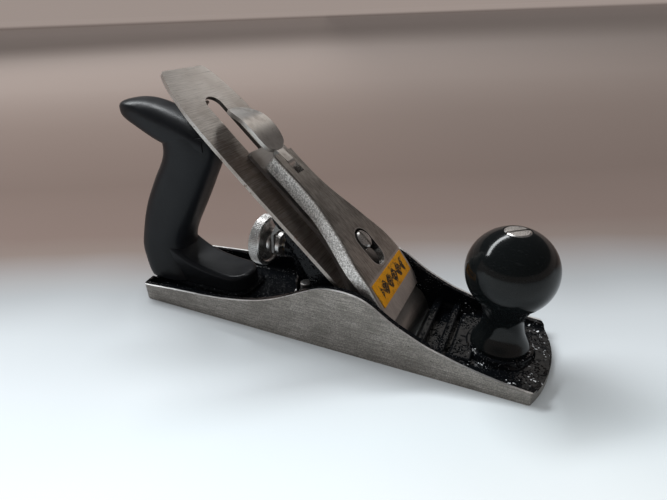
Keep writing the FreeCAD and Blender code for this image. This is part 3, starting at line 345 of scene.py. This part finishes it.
def make_label():
    """Orange-yellow film with a row of plain dark diamonds, rubbed and dirty in places."""
    sh = Shade("label_film")
    s, y = slope_coords(sh)
    across = sh.math("DIVIDE", y, LABEL_HALF_WIDTH)
    along = sh.math("DIVIDE", sh.math("SUBTRACT", s, LABEL_MIDDLE), LABEL_HALF_HEIGHT)
    inside = sh.math("MULTIPLY", sh.math("LESS_THAN", sh.math("ABSOLUTE", across), 0.80),
                     sh.math("LESS_THAN", sh.math("ABSOLUTE", along), 0.60))
    step = sh.math("MULTIPLY", sh.math("ADD", across, 1.0), DIAMONDS_PER_HALF)
    part = sh.math("SUBTRACT", sh.math("FRACT", step), 0.5)
    reach_across = sh.math("ABSOLUTE", sh.math("MULTIPLY", part, 2.0))
    reach_along = sh.math("ABSOLUTE", sh.math("MULTIPLY", along, 1.35))
    reach = sh.math("ADD", reach_across, reach_along)
    marks = sh.math("MULTIPLY", inside, sh.ramp(reach, 1.12, 1.04))
    rubbed = sh.ramp(sh.noise(1.1, 4.0, 0.7), 0.34, 0.5)
    marks = sh.math("MULTIPLY", marks, rubbed)
    film = sh.mix(sh.noise(5, 4.0), (0.62, 0.24, 0.002, 1), (0.88, 0.39, 0.004, 1))
    dirt = sh.ramp(sh.noise(2.5, 5.0, 0.7), 0.48, 0.68, 0.0, 0.75)
    film = sh.mix(dirt, film, (0.20, 0.10, 0.015, 1))
    base = sh.mix(marks, film, (0.012, 0.010, 0.008, 1))
    sh.set(Base_Color=base, Roughness=sh.ramp(sh.noise(1.5, 3.0), 0.3, 0.7, 0.30, 0.48),
           Normal=sh.bump(sh.math("ADD", sh.noise(3, 3.0), marks), 0.03, 0.6))
    sh.bsdf.inputs["Specular IOR Level"].default_value = 0.2
    return sh.mat


def make_brass():
    """Turned brass with fine lines."""
    sh = Shade("bush_brass")
    line = sh.noise(0.4, 3.0)
    sh.set(Base_Color=sh.mix(line, (0.55, 0.38, 0.14, 1), (0.75, 0.56, 0.25, 1)), Metallic=1.0,
           Roughness=sh.ramp(line, 0.2, 0.8, 0.25, 0.4), Normal=sh.bump(line, 0.02, 0.5))
    return sh.mat


MATERIALS = {
    "plane_casting": make_casting(),
    "enamel": make_enamel(),
    "tote_plastic": make_plastic("tote_plastic", (0.0105, 0.0115, 0.0135, 1), 0.28, 0.38, 0.03, 0.14),
    "knob_plastic": make_plastic("knob_plastic", (0.0050, 0.0062, 0.0066, 1), 0.10, 0.16, 0.016, 0.22),
    "iron": make_iron(),
    "cap_iron": make_steel("cap_iron_steel", 0.42, 0.34, 0.04, 0.5, (1, 0.06, 1)),
    "lever_cap": make_cap(),
    "cam": make_steel("cam_lever_steel", 0.56, 0.30, 0.05, 0.5, (0.2, 1, 0.2), 0.02, 0.6),
    "screw": make_steel("screw_steel", 0.55, 0.30, 0.02, 0.4),
    "dark": make_steel("dull_steel", 0.22, 0.42, 0.03, 0.8, stain=0.5),
    "nickel": make_steel("nickel_plate", 0.62, 0.27, 0.035, 0.35, (1, 0.2, 1), 0.012, 0.2),
    "nut": make_steel("knurled_nut", 0.56, 0.26, 0.02, 0.5, stain=0.45),
    "label": make_label(),
    "brass": make_brass(),
}

LOOKS = {
    "body": "plane_casting", "frog": "enamel", "frog_screws": "screw", "frog_washers": "dark",
    "frog_adjusting_screw": "screw", "frog_clip": "dark", "frog_clip_screw": "screw", "iron": "iron",
    "cap_iron": "cap_iron", "cap_iron_screw": "dark", "lever_cap": "lever_cap", "cam_lever": "cam",
    "cam_pin": "screw", "cap_spring": "dark", "cap_spring_rivet": "dark", "lever_cap_screw": "nickel",
    "label": "label", "adjusting_stud": "screw", "adjusting_bush": "brass", "adjusting_nut": "nut",
    "yoke": "dark", "yoke_pin": "screw", "lateral_lever": "dark", "lateral_disc": "screw",
    "lateral_rivet": "screw", "tote": "tote_plastic", "tote_bolt": "screw", "tote_nut": "nickel",
    "knob": "knob_plastic", "knob_bolt": "screw", "knob_nut": "nickel",
}
for node, look in LOOKS.items():
    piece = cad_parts[node]
    piece.data.materials.clear()
    piece.data.materials.append(MATERIALS[look])

# ---------------------------------------------------------------- stage


# Painted light and shade on the sheet: its colour by distance towards the back, in millimetres from the
# middle of the plane
FLOOR_LIGHT_AND_SHADE_TONES = [
    (-125, (0.92, 0.97, 0.985)), (-88, (0.84, 0.91, 0.94)), (-57, (0.78, 0.83, 0.86)),
    (-17, (0.65, 0.69, 0.715)), (27, (0.44, 0.46, 0.475)), (68, (0.315, 0.288, 0.28)),
    (95, (0.245, 0.195, 0.172)), (130, (0.215, 0.160, 0.139)),
    (260, (0.183, 0.136, 0.117)), (600, (0.205, 0.158, 0.137)), (1100, (0.262, 0.212, 0.188)),
    (2400, (0.335, 0.280, 0.253)), (9000, (0.385, 0.320, 0.292)),
]
FAR_GLOW_TONE = (0.33, 0.275, 0.25, 1)
SHADE_TONE = (0.1, 0.09, 0.085, 1)
TO_THE_BACK = (-0.4425, 0.8967, 0.0)
TO_THE_RIGHT = (0.8967, 0.4425, 0.0)
# Height and radius of each ring of the sheet, in metres
FLOOR_RINGS = [(0.0, 1.0), (0.0, 20.0), (0.02, 30.0), (0.4, 32.0), (3.0, 34.0), (9.0, 35.0)]
FLOOR_SIDES = 48


def make_floor():
    """Wide plain sheet that rises far away, with painted light and shade: pale where the light falls, browner
    further back and darker to the right, and a rim that glows instead of being lit.
    """
    sh = Shade("floor_paper")
    height = sh.split(sh.coords)[2]
    away = sh.vmath("DOT_PRODUCT", sh.coords, TO_THE_BACK)
    drift = sh.math("MULTIPLY", sh.math("SUBTRACT", sh.noise(240, 2.0), 0.5), 55 * MM)
    away = sh.math("ADD", away, drift)
    colour = (*FLOOR_LIGHT_AND_SHADE_TONES[0][1], 1)
    for (start, _), (end, tone) in zip(FLOOR_LIGHT_AND_SHADE_TONES, FLOOR_LIGHT_AND_SHADE_TONES[1:]):
        colour = sh.mix(sh.ramp(away, start * MM, end * MM, smooth=False), colour, (*tone, 1))
    # Painted shade: the sheet is drawn darker towards the right.
    right = sh.vmath("DOT_PRODUCT", sh.coords, TO_THE_RIGHT)
    colour = sh.mix(sh.ramp(right, -120 * MM, 260 * MM, 0.0, 0.20), colour, SHADE_TONE)
    # The rising rim is drawn black and glows with the far tone, a painted light in place of being lit.
    wall = sh.ramp(height, 20 * MM, 200 * MM)
    sh.set(Base_Color=sh.mix(wall, colour, (0, 0, 0, 1)), Roughness=0.9,
           Normal=sh.bump(sh.noise(1.2, 3.0), 0.02, 0.3),
           Emission_Color=FAR_GLOW_TONE, Emission_Strength=wall)
    sh.bsdf.inputs["Specular IOR Level"].default_value = 0.1

    points = [(0, 0, 0)]
    for ring_height, radius in FLOOR_RINGS:
        for k in range(FLOOR_SIDES):
            angle = 2 * math.pi * k / FLOOR_SIDES
            points.append((radius * math.cos(angle), radius * math.sin(angle), ring_height))
    faces = [(0, 1 + k, 1 + (k + 1) % FLOOR_SIDES) for k in range(FLOOR_SIDES)]
    for ring in range(len(FLOOR_RINGS) - 1):
        first = 1 + ring * FLOOR_SIDES
        for k in range(FLOOR_SIDES):
            after = (k + 1) % FLOOR_SIDES
            outer = first + FLOOR_SIDES
            faces.append((first + k, outer + k, outer + after, first + after))
    mesh = bpy.data.meshes.new("floor")
    mesh.from_pydata(points, [], faces)
    floor = bpy.data.objects.new("floor", mesh)
    bpy.context.scene.collection.objects.link(floor)
    floor.location.z = -0.0001
    mesh.materials.append(sh.mat)


LIGHT_AIM = Vector((0, 0, 0.05))


def add_lamp(name, light, direction, distance, long_axis):
    """Places a light in a direction from the plane, shining at it, with its width along long_axis."""
    lamp = bpy.data.objects.new(name, light)
    bpy.context.scene.collection.objects.link(lamp)
    z = Vector(direction).normalized()
    x = (Vector(long_axis) - z * Vector(long_axis).dot(z)).normalized()
    y = z.cross(x)
    place = Matrix.Translation(z * distance + LIGHT_AIM)
    lamp.matrix_world = place @ Matrix((x, y, z)).transposed().to_4x4()
    return lamp


def panel(name, direction, distance, long_axis, size, watts, colour):
    """Soft rectangular light that shows in glossy surfaces."""
    light = bpy.data.lights.new(name, "AREA")
    light.shape = "RECTANGLE"
    light.size, light.size_y = size
    light.energy = watts
    light.color = colour
    add_lamp(name, light, direction, distance, long_axis)


def daylight(name, direction, strength, spread, colour):
    """Broad even light that does not show in glossy surfaces."""
    light = bpy.data.lights.new(name, "SUN")
    light.energy = strength
    light.angle = math.radians(spread)
    light.color = colour
    lamp = add_lamp(name, light, direction, 3.0, (1, 0, 0))
    lamp.visible_glossy = False


make_floor()
panel("window", direction=(-0.60, 0.24, 0.77), distance=3.0, long_axis=(0.646, 0.682, 0.24),
      size=(3.4, 0.42), watts=98.0, colour=(0.95, 0.98, 1.0))
panel("glow", direction=(0.02, 0.80, 0.62), distance=1.6, long_axis=(1, 0, 0),
      size=(0.6, 0.4), watts=1.0, colour=(1.0, 0.95, 0.9))
daylight("day", direction=(-0.75, 0.28, 0.72), strength=0.41, spread=28, colour=(0.97, 0.99, 1.0))
daylight("fill", direction=(0.05, -0.25, 1.0), strength=0.92, spread=110, colour=(0.98, 0.99, 1.0))

WORLD_TONE = (0.075, 0.07, 0.068, 1)
world = bpy.data.worlds.new("studio")
bpy.context.scene.world = world
world.use_nodes = True
background = world.node_tree.nodes["Background"]
background.inputs["Color"].default_value = WORLD_TONE
background.inputs["Strength"].default_value = 1.0

camera_data = bpy.data.cameras.new("camera")
camera = bpy.data.objects.new("camera", camera_data)
bpy.context.scene.collection.objects.link(camera)
camera_data.sensor_width = 36.0
camera_data.lens = 24.518
camera_data.clip_start = 0.01
camera_data.clip_end = 50.0
camera_right = Vector((0.903712, 0.426856, -0.033150))
camera_up = Vector((-0.170013, 0.428843, 0.887237))
camera_back = Vector((0.392939, -0.796170, 0.460122))
camera_turn = Matrix((camera_right, camera_up, camera_back)).transposed().to_4x4()
camera.matrix_world = Matrix.Translation((0.103762, -0.204966, 0.162710)) @ camera_turn
bpy.context.scene.camera = camera
bpy.context.scene.view_settings.view_transform = "Standard"
